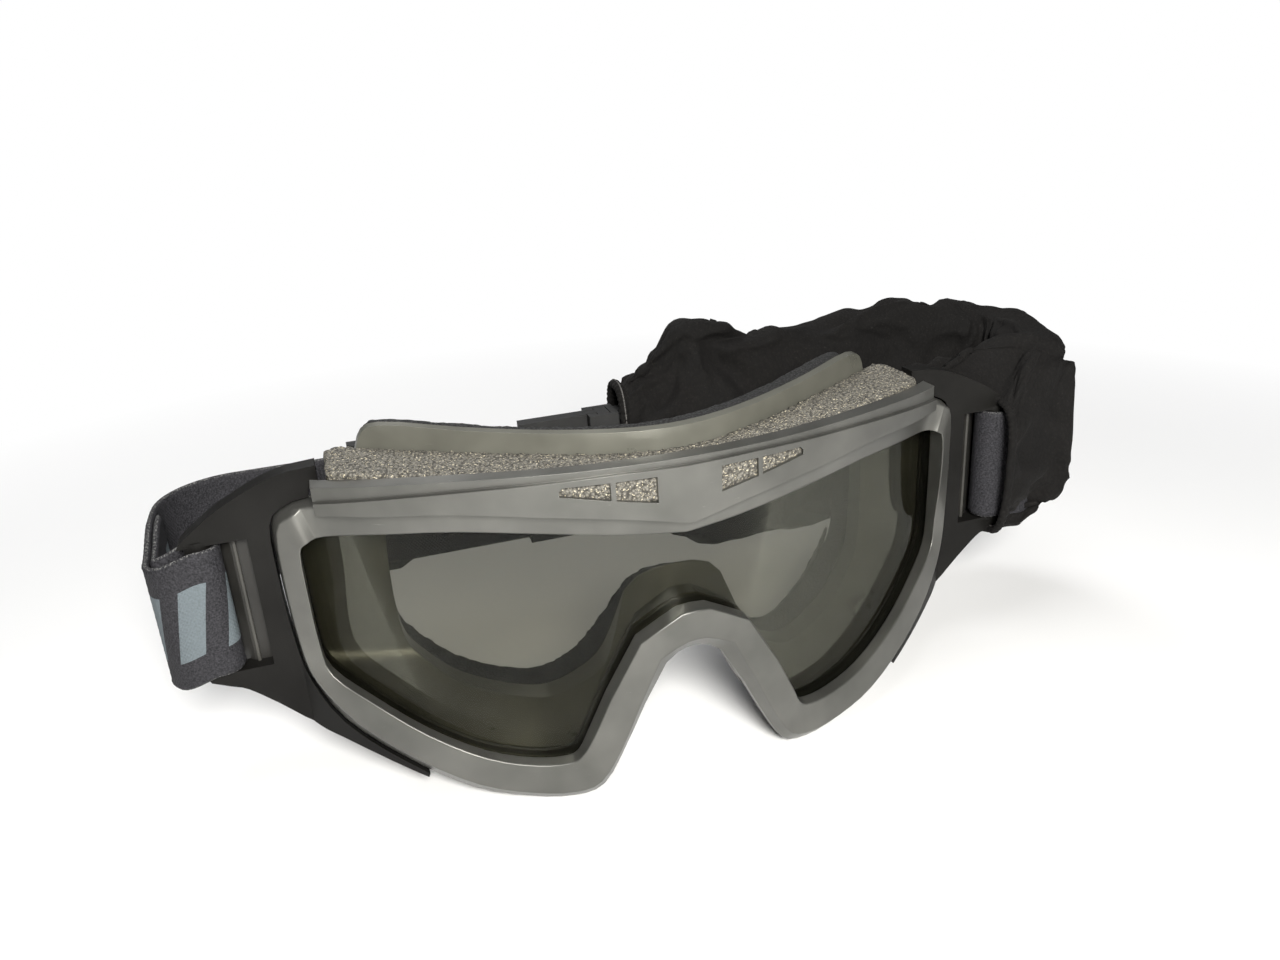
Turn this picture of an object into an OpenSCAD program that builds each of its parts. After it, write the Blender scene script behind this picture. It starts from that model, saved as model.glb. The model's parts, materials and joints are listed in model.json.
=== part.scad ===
// Wide single-lens protective goggles with side outriggers, an elastic head strap and a fabric cover
// sleeve pushed along the strap on the wearer's left.
// Row frame: +X towards the wearer's left, +Y towards the wearer's face, +Z up. The origin is the
// centre of the face opening, on the plane of symmetry.
// All front pieces wrap round one upright axis behind the lens. "Depth" is the distance from the
// frontmost wrapped surface towards that axis.

/* [Front frame] */
// Radius that the front of the frame wraps round in plan
wrap_r = 128; // [126:1:131]
// How far the front of the frame stands ahead of the origin on the centre line
front_reach = 27; // [26:0.5:28]
// Depth of the front frame, from its face to its back edge
frame_depth = 8.6; // [8.4:0.2:9.2]
// Depth of the bevel round the outside of the front frame
bevel_depth = 3; // [2:0.5:4]

/* [Lens] */
// Thickness of the lens
lens_t = 2.5; // [2:0.1:2.7]
// Depth of the lens's outer surface behind the face of the frame
lens_depth = 5.1; // [5:0.05:5.2]
// How far the lens's edge reaches into the groove of the frame
lens_bite = 1.5; // [1:0.1:1.6]

/* [Brow bar] */
// Half length of the brow bar
brow_half = 76.2; // [75:0.1:77]
// Thickness of the brow bar's front plate
brow_t = 2.6; // [2:0.1:2.7]

/* [Face frame and foam] */
// Thickness of the flange that carries the face foam
flange_t = 3; // [2:0.25:4]
// Thickness of the face foam
foam_t = 11; // [8:0.5:12]
// Thickness of the fleece facing
lining_t = 2; // [1.5:0.25:2.5]

/* [Outriggers] */
// Distance of each strap post from the plane of symmetry
post_x = 102; // [101:0.5:103]
// Distance of the strap posts behind the origin
post_y = 11; // [10.5:0.5:11.5]
// Radius of each strap post
post_r = 2.9; // [2.5:0.1:3]
// Height of the strap slot's centre above the origin
post_z = 5.75; // [5:0.25:6.5]

/* [Strap] */
// Width of the strap
strap_w = 31; // [28:0.5:31]
// Thickness of the strap
strap_t = 1.6; // [1.2:0.1:1.6]
// How far the strap stands out on the wearer's right
right_bulge = 114; // [114:1:120]
// How far the strap stands out on the wearer's left, inside the cover sleeve
left_bulge = 126; // [124:1:130]
// Distance of the back of the strap behind the origin
back_y = 56; // [56:1:64]
// Radius of the strap's rear corners
corner_r = 18; // [16:1:19]

/* [Strap hardware] */
// Distance of each slider from the plane of symmetry
slider_x = 60; // [58:1:64]
// Radius of the vertical bars that hold webbing
bar_r = 1.2; // [1:0.1:1.2]
// Distance of the rear clip's webbing bars from the plane of symmetry
clip_bar_x = 19; // [18:0.5:20]
// Running clearance between the two halves of the rear clip
clip_gap = 0.3; // [0.2:0.05:0.4]

/* [Cover sleeve] */
// Thickness of the bunched sleeve fabric
sleeve_t = 2.5; // [2:0.25:3]
// Height of the top of the sleeve above the origin
sleeve_top = 40; // [36:1:40]
// Height of the bottom of the sleeve, below the origin
sleeve_bottom = -21; // [-24:1:-21]

/* [Hidden] */
$fn = 96;
wrap_y = wrap_r - front_reach;
tall = 200;

grey = "#6f716c";
olive_grey = "#55564f";
black = "#1d1b19";
foam_grey = "#3a3a38";
clear = [0.55, 0.6, 0.56, 0.35];
webbing_grey = "#33343a";

// ---- Curves -----------------------------------------------------------------------------------

// Point a fraction t along the smooth curve from b to c, with a and d the points either side
function smooth_point(a, b, c, d, t) =
    0.5 * (2 * b + (c - a) * t + (2 * a - 5 * b + 4 * c - d) * t * t
        + (3 * b - a - 3 * c + d) * t * t * t);

// Points of a smooth open curve through the key points p, with n steps between each pair
function smooth(p, n) = [
    for (i = [0 : len(p) - 2], s = [0 : n - 1])
        smooth_point(p[max(i - 1, 0)], p[i], p[i + 1], p[min(i + 2, len(p) - 1)], s / n),
    p[len(p) - 1]];

function mirror_x(p) = [for (q = p) [-q[0], q[1]]];
function reversed(p) = [for (i = [len(p) - 1 : -1 : 0]) p[i]];

// Closed outline from a half outline that starts and ends on the centre line
function both_sides(half) = concat(half, [for (i = [len(half) - 2 : -1 : 1]) [-half[i][0], half[i][1]]]);

// Key points of each outline, in pairs [x, z], from the top centre round the wearer's left half to
// the nose. Row i of every list lies on one line across the frame, so that the lists can be joined
// into a skin. The last straight_keys rows are the angular nose bridge and are joined by straights.
straight_keys = 4;
opening_keys = [[0, 18.5], [13, 20], [30, 22.3], [48, 23.8], [64, 22.9], [75.2, 21.4], [79, 20.6],
    [80.8, 18.4], [80.9, 8], [80.6, -5], [79, -12.9], [71, -19.2], [60.2, -26.6], [48.4, -32.3], [38, -34.6],
    [31, -34.7], [27.8, -33.2], [25, -27.6], [20.7, -18.3], [13.1, -4.8], [8.4, -2], [3.4, 0.7], [0, 1]];
ridge_keys = [[0, 22], [12.5, 24.9], [28, 27.3], [48, 29.3], [65, 28.7], [76.8, 28], [81.6, 27],
    [85, 23.4], [85.5, 10], [84.8, -5], [82.8, -14.4], [75.4, -23.9], [64, -31.9], [51, -38.4],
    [39.4, -41], [30.4, -41.6], [24.2, -39.5], [18.8, -30.8], [14.7, -21.5], [8.9, -9.3], [5.2, -7.3],
    [2.2, -6.2], [0, -6]];
outer_keys = [[0, 31], [12, 31.2], [28, 31.2], [48, 30.8], [66, 29.6], [76.9, 28.7], [82, 27.7],
    [86, 23.8], [86.3, 10], [85.6, -5], [83.9, -15.4], [78, -25.8], [65.6, -34.6], [52.3, -41.5],
    [40, -44.2], [30, -44.9], [22.8, -42.4], [17, -32.2], [12.5, -22.8], [6.6, -12.3], [3.8, -10.2],
    [1.8, -9.5], [0, -9.4]];
eye_keys = [[0, 29], [13, 29], [27, 29], [40, 29], [52, 28], [58, 25.6], [61, 21],
    [62.2, 14], [62.5, 5], [62.3, -5], [61, -13.5], [56.5, -18.9], [50.4, -23.3], [42.2, -25.4],
    [35.6, -25.8], [30.6, -25], [25, -21.6], [18.8, -15.6], [15.2, -8], [12, 1], [8.9, 4.5], [4.5, 6.3],
    [0, 6.7]];
flange_keys = [[0, 40.6], [13, 40.6], [28, 40.6], [43, 40.9], [59.5, 41.5], [64.6, 38], [66.6, 28],
    [68, 18], [69, 7], [69.4, -5], [68, -17], [63.4, -27], [56.4, -34.4], [46, -39.8], [37.5, -42],
    [30, -42.6], [23, -39.8], [16.4, -30.6], [11.6, -21], [7.2, -12], [5, -9.4], [2.4, -7.6], [0, -7]];
// Front inner edge of the face frame: the same as the opening, but tucked up under the brow
inner_keys = concat([[0, 27.4], [13, 27.4], [30, 27.4], [48, 27.2], [64, 25.8], [75.2, 23.6], [79, 21.4]],
    [for (i = [7 : len(opening_keys) - 1]) opening_keys[i]]);
// Depth of the opening's front edge and of the ridge, row by row: the lip under the brow bar lies
// lower than the rest of the rim
opening_dip_keys = [for (i = [0 : len(opening_keys) - 1])
    i < 6 ? 4.3 : i == 6 || i > 8 && i < 17 ? 1.6 : 0.4];
ridge_dip_keys = [for (i = [0 : len(opening_keys) - 1]) i < 6 ? 3.7 : i == 6 ? 1 : 0];
// How far the open channel round the face frame is filled: 0 is open, 1 is full. The nose is full.
fill_keys = [for (i = [0 : len(opening_keys) - 1]) i < 16 ? 0 : i == 16 ? 0.4 : 1];
// How far the funnel's wall is hollowed into a saddle: 0 is straight, 1 is the full waist over the nose
saddle_keys = [for (i = [0 : len(opening_keys) - 1]) i < 18 ? 0 : i == 18 ? 0.5 : 1];

rows = len(opening_keys);
steps_per_key = 3;

function first(p, n) = [for (i = [0 : n - 1]) p[i]];
function last(p, n) = [for (i = [len(p) - n + 1 : len(p) - 1]) p[i]];
function half_curve(keys) = concat(smooth(first(keys, rows - straight_keys), steps_per_key),
    last(keys, straight_keys + 1));

opening = half_curve(opening_keys);
ridge = half_curve(ridge_keys);
outer = half_curve(outer_keys);
eye = half_curve(eye_keys);
flange = half_curve(flange_keys);
inner = half_curve(inner_keys);
opening_dip = half_curve(opening_dip_keys);
ridge_dip = half_curve(ridge_dip_keys);
fill = half_curve(fill_keys);
saddle = half_curve(saddle_keys);

// Height to z, distance behind the origin to y: a point on the wrapped front at the given depth
function wrapped(p, depth) = [p[0], wrap_y - sqrt(pow(wrap_r - depth, 2) - p[0] * p[0]), p[1]];

// Plan curve of the face: straight cheeks that meet in a rounded vertex over the nose
nose_set = 27.9;
cheek_slope = 0.7;
vertex_r = 15;
function face_y(x) = sqrt(vertex_r * vertex_r + pow(cheek_slope * x, 2)) - nose_set;
function on_face(p, offset) = [p[0], face_y(p[0]) + offset, p[1]];

// Moves p by d away from q
function away(p, q, d) = p + (p - q) / norm(p - q) * d;

// Solid skin round the frame: sections[i] is the closed section at row i of the wearer's left half.
// The mirrored sections close the loop on the wearer's right.
module ring_skin(sections) {
    half = len(sections);
    count = len(sections[0]);
    loop = concat(sections,
        [for (i = [half - 2 : -1 : 1]) [for (p = sections[i]) [-p[0], p[1], p[2]]]]);
    n = len(loop);
    polyhedron(
        points = [for (s = loop, p = s) p],
        faces = [for (i = [0 : n - 1], j = [0 : count - 1])
            let (a = i * count + j, b = i * count + (j + 1) % count,
                c = ((i + 1) % n) * count + (j + 1) % count, d = ((i + 1) % n) * count + j)
            each [[a, b, c], [a, c, d]]],
        convexity = 10);
}

// Prism of an [x, z] outline, running fore and aft
module fore_aft(outline, y0 = -tall / 2, y1 = tall / 2) {
    translate([0, y1, 0]) rotate([90, 0, 0]) linear_extrude(y1 - y0) polygon(outline);
}

// Wrapped shell between two depths
module wrap_shell(front, back) {
    intersection() {
        translate([0, wrap_y, -tall / 2]) difference() {
            cylinder(r = wrap_r - front, h = tall, $fn = 180);
            translate([0, 0, -1]) cylinder(r = wrap_r - back, h = tall + 2, $fn = 180);
        }
        translate([-tall, wrap_y - tall, -tall]) cube([2 * tall, tall, 2 * tall]);
    }
}

// ---- Frame ------------------------------------------------------------------------------------

groove_front = lens_depth - 0.1;
groove_back = lens_depth + lens_t + 0.15;
groove_reach = lens_bite + 0.35;

module front_frame() {
    color(grey) ring_skin([for (i = [0 : len(opening) - 1])
        let (e = opening[i], r = ridge[i], s = outer[i], g = away(e, r, -groove_reach))
        [wrapped(e, opening_dip[i]), wrapped(r, ridge_dip[i]), wrapped(s, max(bevel_depth, ridge_dip[i])),
            wrapped(s, frame_depth), wrapped(e, frame_depth), wrapped(e, groove_back),
            wrapped(g, groove_back), wrapped(g, groove_front), wrapped(e, groove_front)]]);
}

module lens() {
    edge = [for (i = [0 : len(opening) - 1])
        let (g = away(opening[i], ridge[i], -lens_bite)) (i == 0 || i == len(opening) - 1) ? [0, g[1]] : g];
    color(clear) intersection() {
        fore_aft(both_sides(edge));
        wrap_shell(lens_depth, lens_depth + lens_t);
    }
}

// Lower edge, groove and top edge of the brow bar, from the centre line outwards
brow_lower = concat(first(ridge_keys, 5), [[brow_half, 28]]);
brow_groove_line = [[0, 35.3], [15, 35.5], [30, 35.1], [45, 34.4], [60, 33], [brow_half, 30.8]];
brow_top_line = [[0, 36.9], [20, 36.8], [40, 36.6], [56, 35.9], [brow_half, 34.1]];
brow_floor = [[0, 31.3], [28, 31.5], [48, 31.1], [66, 29.9], [brow_half, 29.2]];
brow_front = 0.9;
ridge_set_back = 1.1;
ridge_back = 6;

// Outline between two half curves, mirrored to both sides
function band(upper, lower) = concat(
    reversed(mirror_x(smooth(upper, 4))), smooth(upper, 4),
    reversed(smooth(lower, 4)), mirror_x(smooth(lower, 4)));

// Vent slot of the brow bar: a trapezoid with its tall end near the centre line
vent_outline = [[7.2, 28], [7.2, 33.9], [26.9, 33.9], [27.7, 33.1], [27.7, 32]];
vent_rib_x = 16.6;
vent_rib_w = 1.1;

module brow_vents() {
    difference() {
        fore_aft(vent_outline, y1 = -15);
        translate([vent_rib_x - vent_rib_w / 2, -tall / 2, 0]) cube([vent_rib_w, tall, tall / 2]);
    }
}

module brow_bar() {
    color(grey) difference() {
        union() {
            intersection() {
                fore_aft(band(brow_groove_line, brow_lower));
                wrap_shell(brow_front, brow_front + brow_t);
            }
            intersection() {
                fore_aft(band(brow_top_line, brow_floor));
                wrap_shell(brow_front + ridge_set_back, ridge_back);
            }
        }
        brow_vents();
        mirror([1, 0, 0]) brow_vents();
    }
}

wall_t = 2.6;
seat_gap = 0.25;
chassis_start = frame_depth + seat_gap;
chassis_front_wall = 2;
throat_set = 6;
flange_lip = 0.5;
saddle_rim = 0.6;
saddle_narrowing = 0.8;
saddle_rise = 1;
saddle_back = 0.5;

// Moves p towards q, by the wall thickness where the channel is open and all the way where it is full
function floor_point(p, q, filled) =
    let (reach = norm(q - p), open = min(wall_t, reach - flange_lip))
    p + (q - p) / reach * (open + (reach - flange_lip - open) * filled);

function between(p, q, t) = p + (q - p) * t;

// The funnel behind the lens, an outward-facing channel round it, and the flange that takes the foam.
// Over the nose the funnel's wall is hollowed between the lens and a thin rear rim
module face_frame() {
    back = chassis_start + chassis_front_wall;
    color(olive_grey) ring_skin([for (i = [0 : len(eye) - 1])
        let (e = inner[i], s = away(outer[i], e, -0.8), o = eye[i], f = flange[i],
            channel = floor_point(e, s, fill[i]), root = floor_point(o, f, fill[i]),
            front = wrapped(e, chassis_start),
            wall = [o[0], max(face_y(o[0]) - throat_set, wrapped(o, chassis_start)[1] + 0.8), o[1]],
            throat = between(wall, on_face(o, -saddle_rim), saddle[i]),
            halfway = (front + throat) / 2,
            waist = [e[0] * saddle_narrowing, halfway[1] + saddle_back, e[1] + saddle_rise])
        [front, wrapped(s, chassis_start), wrapped(s, back), wrapped(channel, back),
            on_face(root, -flange_t), on_face(f, -flange_t), on_face(f, 0), on_face(o, 0),
            throat, between(halfway, waist, saddle[i])]]);
}

// Plan prism of everything in front of the face curve shifted back by offset
face_steps = 24;
face_half = 90;
module ahead_of_face(offset) {
    translate([0, 0, -tall / 2]) linear_extrude(tall) polygon(concat(
        [for (i = [-face_steps : face_steps]) let (x = face_half * i / face_steps) [x, face_y(x) + offset]],
        [[face_half, -tall / 2], [-face_half, -tall / 2]]));
}

module behind_shell(depth) {
    translate([0, wrap_y, -tall / 2]) cylinder(r = wrap_r - depth, h = tall, $fn = 180);
}

foam_gap = 0.2;
foam_bottom = 31.8;
foam_top = 36.2;
foam_half = 72.5;
foam_back = 21;
foam_chamfer = 3.5;

// Strip in the open channel between the brow bar and the flange
module top_vent_foam() {
    plan = [[-foam_half, -front_reach], [foam_half, -front_reach], [foam_half, foam_back - foam_chamfer],
        [foam_half - foam_chamfer, foam_back], [foam_chamfer - foam_half, foam_back],
        [-foam_half, foam_back - foam_chamfer]];
    color(foam_grey) intersection() {
        behind_shell(ridge_back + foam_gap);
        ahead_of_face(-flange_t - foam_gap);
        translate([0, 0, foam_bottom]) linear_extrude(foam_top - foam_bottom) polygon(plan);
    }
}

// Strip in the channel under the lens, between the front wall and the flange
module lower_vent_foam() {
    floor_line = [[35, -38.6], [42, -37.8], [49, -35.9], [56, -33]];
    mouth_line = [[35, -43.2], [42, -42.4], [49, -40.8], [56, -37.8]];
    color(foam_grey) intersection() {
        behind_shell(chassis_start + chassis_front_wall + foam_gap);
        ahead_of_face(-flange_t - foam_gap);
        fore_aft(concat(smooth(floor_line, 3), reversed(smooth(mouth_line, 3))));
    }
}

module lower_vent_foam_left() { lower_vent_foam(); }
module lower_vent_foam_right() { mirror([1, 0, 0]) lower_vent_foam(); }

pad_inset = 0.4;
nose_inset = 4;
pad_round = 1.6;
pad_edge = 1.8;
pad_slope = 3.2;
glue_gap = 0.2;

// Inner edge of the pad at row i: it is set lower behind the nose saddle
function pad_inner(i) = away(eye[i], flange[i], -pad_inset - nose_inset * saddle[i]);

module face_foam() {
    color("#2c2c2b") ring_skin([for (i = [0 : len(eye) - 1])
        let (o = pad_inner(i), f = away(flange[i], eye[i], -pad_edge),
            o_round = away(o, f, -pad_round), f_round = away(f, o, -pad_slope))
        [on_face(o, glue_gap), on_face(f, glue_gap), on_face(f, foam_t - pad_round),
            on_face(f_round, foam_t), on_face(o_round, foam_t), on_face(o, foam_t - pad_round)]]);
}

module face_lining() {
    start = foam_t + glue_gap;
    color(black) ring_skin([for (i = [0 : len(eye) - 1])
        let (o = away(pad_inner(i), flange[i], -pad_round),
            f = away(flange[i], eye[i], -pad_edge - pad_slope))
        [on_face(o, start), on_face(f, start), on_face(f, start + lining_t), on_face(o, start + lining_t)]]);
}

// ---- Outriggers -------------------------------------------------------------------------------

wing_front = 8.5;
wing_back = 13.5;
wing_gap = 0.4;
wing_tip_x = 106.4;
slot_inner_x = 91.5;
slot_h = strap_w + 1;
hook_x = 86;
hook_depth = 2;
hook_back = 6;
// First and last points of the front frame's side that the outrigger hugs
hug_first = 5 * steps_per_key;
hug_last = 12 * steps_per_key + 1;
wing_inner = [for (i = [hug_last : -1 : hug_first]) away(outer[i], opening[i], wing_gap)];
wing_top = [[76.9, 31], [74.6, 31], [74.6, 36.2], [80.5, 35.8], [87, 34], [96.5, 29.4], [102, 25.6],
    [wing_tip_x - 1, 22.9]];
wing_bottom = [[wing_tip_x - 1, -12], [101.5, -13.8], [98, -15.5], [92, -21], [85, -28], [79, -30.6],
    [74, -32.8], [68.7, -35.3], [61.8, -38.6]];

module outrigger() {
    outline = concat(wing_inner, first(wing_top, 3), smooth([for (i = [3 : 7]) wing_top[i]], 4),
        [[wing_tip_x, 21], [wing_tip_x, -10]], smooth(wing_bottom, 3));
    color(black) {
        difference() {
            fore_aft(outline, wing_front, wing_back);
            translate([slot_inner_x, 0, post_z - slot_h / 2]) cube([tall, tall, slot_h]);
            translate([0, 0, -tall]) cube([hook_x - 3, tall, tall + post_z]);
        }
        translate([post_x, post_y, post_z - slot_h / 2 - 1]) cylinder(r = post_r, h = slot_h + 2);
        intersection() {
            fore_aft(outline);
            wrap_shell(hook_depth, hook_back);
            translate([0, -tall / 2, -tall]) cube([hook_x, tall, tall + post_z]);
        }
    }
}

module outrigger_left() { outrigger(); }
module outrigger_right() { mirror([1, 0, 0]) outrigger(); }

// ---- Strap ------------------------------------------------------------------------------------

loop_gap = 0.2;
loop_r = post_r + loop_gap + strap_t / 2;
bend_x = post_x + 3;
strap_front = post_y - loop_r;
sewn_back = post_y + loop_r;
layer = strap_t + 0.1;
joint_gap = 0.05;
join_y = 36;
sewn_end = join_y - 2;
// Difference in radius between the outer and the sewn inner layer round the front bend
layer_step = 2 * loop_r;

// Straight stretch of webbing between two points in plan
module run(a, b) {
    d = b - a;
    translate([a[0], a[1], post_z - strap_w / 2]) rotate([0, 0, atan2(d[1], d[0])])
        translate([0, -strap_t / 2, 0]) cube([norm(d), strap_t, strap_w]);
}

// Webbing bent round a centre in plan, from one angle to another
module bend(c, r, from, to) {
    translate([c[0], c[1], post_z - strap_w / 2]) rotate([0, 0, from])
        rotate_extrude(angle = to - from) translate([r - strap_t / 2, 0]) square([strap_t, strap_w]);
}

// Sewn loop round the post, with its two layers running back along the side of the head
module strap_end(bulge) {
    outer_r = bulge - bend_x;
    inner_r = outer_r - layer_step;
    inner_x = bulge - layer;
    color(webbing_grey) {
        bend([post_x, post_y], loop_r, 90, 270);
        run([post_x, strap_front], [bend_x, strap_front]);
        bend([bend_x, strap_front + outer_r], outer_r, -90, 0);
        run([bulge, strap_front + outer_r], [bulge, join_y]);
        run([post_x, sewn_back], [inner_x - inner_r, sewn_back]);
        bend([inner_x - inner_r, sewn_back + inner_r], inner_r, -90, 0);
        run([inner_x, sewn_back + inner_r], [inner_x, sewn_end]);
    }
}

module strap_end_left() { strap_end(left_bulge); }
module strap_end_right() { mirror([1, 0, 0]) strap_end(right_bulge); }

pass_gap = 0.2;
bar_gap = 0.1;
bar_loop_r = bar_r + bar_gap + strap_t / 2;
slider_bar_y = back_y - strap_t - pass_gap - bar_loop_r;
tail_y = slider_bar_y - bar_loop_r;
clip_loop_r = (back_y - tail_y) / 2;
clip_bar_r = clip_loop_r - strap_t / 2 - bar_gap;
clip_y = back_y - clip_loop_r;
tail_start_x = clip_bar_x + 3;

// Side, corner and back of the strap, ending in the loop round the clip's bar
module strap(bulge) {
    corner = [bulge - corner_r, back_y - corner_r];
    color(webbing_grey) {
        run([bulge, join_y + joint_gap], [bulge, corner[1]]);
        bend(corner, corner_r, 0, 90);
        run([corner[0], back_y], [clip_bar_x, back_y]);
        bend([clip_bar_x, clip_y], clip_loop_r, 90, 270);
        run([clip_bar_x, tail_y], [tail_start_x, tail_y]);
    }
}

module strap_left() { strap(left_bulge); }
module strap_right() { mirror([1, 0, 0]) strap(right_bulge); }

tail_return = 8;

// Doubled-back end of the webbing, from the clip to the sewn loop on the slider's middle bar
module strap_tail() {
    color(webbing_grey) {
        run([tail_start_x + joint_gap, tail_y], [slider_x, tail_y]);
        bend([slider_x, slider_bar_y], bar_loop_r, -90, 90);
        run([slider_x, slider_bar_y + bar_loop_r], [slider_x - tail_return, slider_bar_y + bar_loop_r]);
    }
}

module strap_tail_left() { strap_tail(); }
module strap_tail_right() { mirror([1, 0, 0]) strap_tail(); }

// ---- Strap hardware ---------------------------------------------------------------------------

edge_gap = 0.4;
rail_t = 2;
hardware_half = strap_w / 2 + edge_gap + rail_t;
end_bar_reach = 5.5;
end_bar_y = back_y + strap_t / 2 + pass_gap + bar_r;
slider_half = end_bar_reach + bar_r + 0.5;

module upright_bar(x, y, r = bar_r) {
    translate([x, y, post_z - hardware_half]) cylinder(r = r, h = 2 * hardware_half);
}

// Three-bar slider: two outer bars behind the strap and a middle bar that holds the tail
module slider() {
    cheek = [[-slider_half, end_bar_y - bar_r], [-slider_half, end_bar_y + bar_r],
        [slider_half, end_bar_y + bar_r], [slider_half, end_bar_y - bar_r],
        [bar_r + 0.5, slider_bar_y - bar_r - 0.5], [-bar_r - 0.5, slider_bar_y - bar_r - 0.5]];
    color(black) {
        for (z = [post_z - hardware_half, post_z + hardware_half - rail_t])
            translate([slider_x, 0, z]) linear_extrude(rail_t) polygon(cheek);
        upright_bar(slider_x - end_bar_reach, end_bar_y);
        upright_bar(slider_x + end_bar_reach, end_bar_y);
        upright_bar(slider_x, slider_bar_y);
    }
}

module slider_left() { slider(); }
module slider_right() { mirror([1, 0, 0]) slider(); }

// Box of the rear clip between two x values, centred on the clip's plane
module clip_box(x0, x1, half_y, z0 = -hardware_half, z1 = hardware_half) {
    translate([x0, clip_y - half_y, post_z + z0]) cube([x1 - x0, 2 * half_y, z1 - z0]);
}

clip_plate_end = clip_bar_x - clip_loop_r - strap_t / 2 - 0.5;
clip_plate_half = 2.2;

// Webbing bar and its two rails, on the wearer's left
module clip_bar() {
    upright_bar(clip_bar_x, clip_y, clip_bar_r);
    for (z = [-hardware_half, hardware_half - rail_t])
        clip_box(clip_plate_end - 1, clip_bar_x + clip_bar_r, clip_plate_half, z, z + rail_t);
}

head_start = 1.1;
head_end = 4.5;
head_half = 2.8;
neck_half = 1.3;
socket_start = -1.8;
socket_end = 6.8;
socket_half = 4.7;
socket_floor = 2.4;
tongue_bottom = -hardware_half + socket_floor + 0.1;

module clip_socket() {
    slot_floor = -hardware_half + socket_floor;
    color(black) {
        difference() {
            clip_box(socket_start, socket_end, socket_half);
            clip_box(head_start - clip_gap, head_end + clip_gap, head_half + clip_gap, slot_floor, tall);
            clip_box(socket_start - 1, head_start, neck_half + clip_gap, slot_floor, tall);
        }
        clip_box(socket_end - 0.1, clip_plate_end, clip_plate_half);
        clip_bar();
    }
}

module clip_tongue() {
    plate_start = socket_start - 0.4;
    color(black) {
        clip_box(head_start, head_end, head_half, tongue_bottom);
        clip_box(plate_start - 1, head_start + 0.1, neck_half, tongue_bottom);
        clip_box(-clip_plate_end, plate_start, clip_plate_half);
        mirror([1, 0, 0]) clip_bar();
    }
}

// ---- Cover sleeve -----------------------------------------------------------------------------

sleeve_inside = 10;
sleeve_outside = 6;
sleeve_front_x = 99.5;
sleeve_rear_x = 8;
hem_w = 2.7;
hem_roll = 1;
left_r = left_bulge - bend_x;

// Upright band that follows the strap on the wearer's left, between two offsets from the strap and
// two heights, run on past both ends by over
module sleeve_band(inside, outside, z0, z1, over = 0) {
    front = [bend_x, strap_front + left_r];
    back = [left_bulge - corner_r, back_y - corner_r];
    wide = inside + outside;
    h = z1 - z0;
    front_x = sleeve_front_x - over;
    rear_x = sleeve_rear_x - over;
    translate([0, 0, z0]) {
        translate([front_x, strap_front - outside, 0]) cube([bend_x - front_x, wide, h]);
        translate(front) rotate([0, 0, -90]) rotate_extrude(angle = 90)
            translate([left_r - inside, 0]) square([wide, h]);
        translate([left_bulge - inside, front[1], 0]) cube([wide, back[1] - front[1], h]);
        translate(back) rotate_extrude(angle = 90) translate([corner_r - inside, 0]) square([wide, h]);
        translate([rear_x, back_y - inside, 0]) cube([back[0] - rear_x, wide, h]);
    }
}

module cover_sleeve() {
    color("#211d1a") difference() {
        sleeve_band(sleeve_inside + sleeve_t, sleeve_outside + sleeve_t, sleeve_bottom, sleeve_top);
        sleeve_band(sleeve_inside, sleeve_outside, sleeve_bottom + sleeve_t, sleeve_top - sleeve_t, 1);
    }
}

// Elastic hem: an upright ring round the sleeve's end. x is its lower edge along X and y the strap's
// place in it
module hem(x, y, inside, outside) {
    rim = sleeve_t + hem_roll;
    color("#2a2521") difference() {
        translate([x, y - inside - rim, sleeve_bottom - hem_roll])
            cube([hem_w, inside + outside + 2 * rim, sleeve_top - sleeve_bottom + 2 * hem_roll]);
        translate([x - 1, y - inside, sleeve_bottom + sleeve_t])
            cube([hem_w + 2, inside + outside, sleeve_top - sleeve_bottom - 2 * sleeve_t]);
    }
}

hem_gap = 0.2;
module sleeve_front_hem() {
    hem(sleeve_front_x - hem_gap - hem_w, strap_front, sleeve_outside, sleeve_inside);
}
module sleeve_rear_hem() {
    hem(sleeve_rear_x - hem_gap - hem_w, back_y, sleeve_inside, sleeve_outside);
}

front_frame();
brow_bar();
face_frame();
lens();
top_vent_foam();
lower_vent_foam_left();
lower_vent_foam_right();
face_foam();
face_lining();
outrigger_left();
outrigger_right();
strap_end_left();
strap_end_right();
strap_left();
strap_right();
strap_tail_left();
strap_tail_right();
slider_left();
slider_right();
clip_socket();
clip_tongue();
cover_sleeve();
sleeve_front_hem();
sleeve_rear_hem();
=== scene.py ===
"""Looks of wide single-lens goggles: satin grey frame, clear lens, open-cell vent foam, fleece-faced
pad, woven strap and a knit cover sleeve bunched on the strap at the wearer's left.

Shared frame, in metres: +X towards the wearer's left, +Y towards the wearer's face, +Z up.
"""

import json
import math

import bmesh
import bpy
import numpy as np
from mathutils import Matrix, Vector, noise


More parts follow.
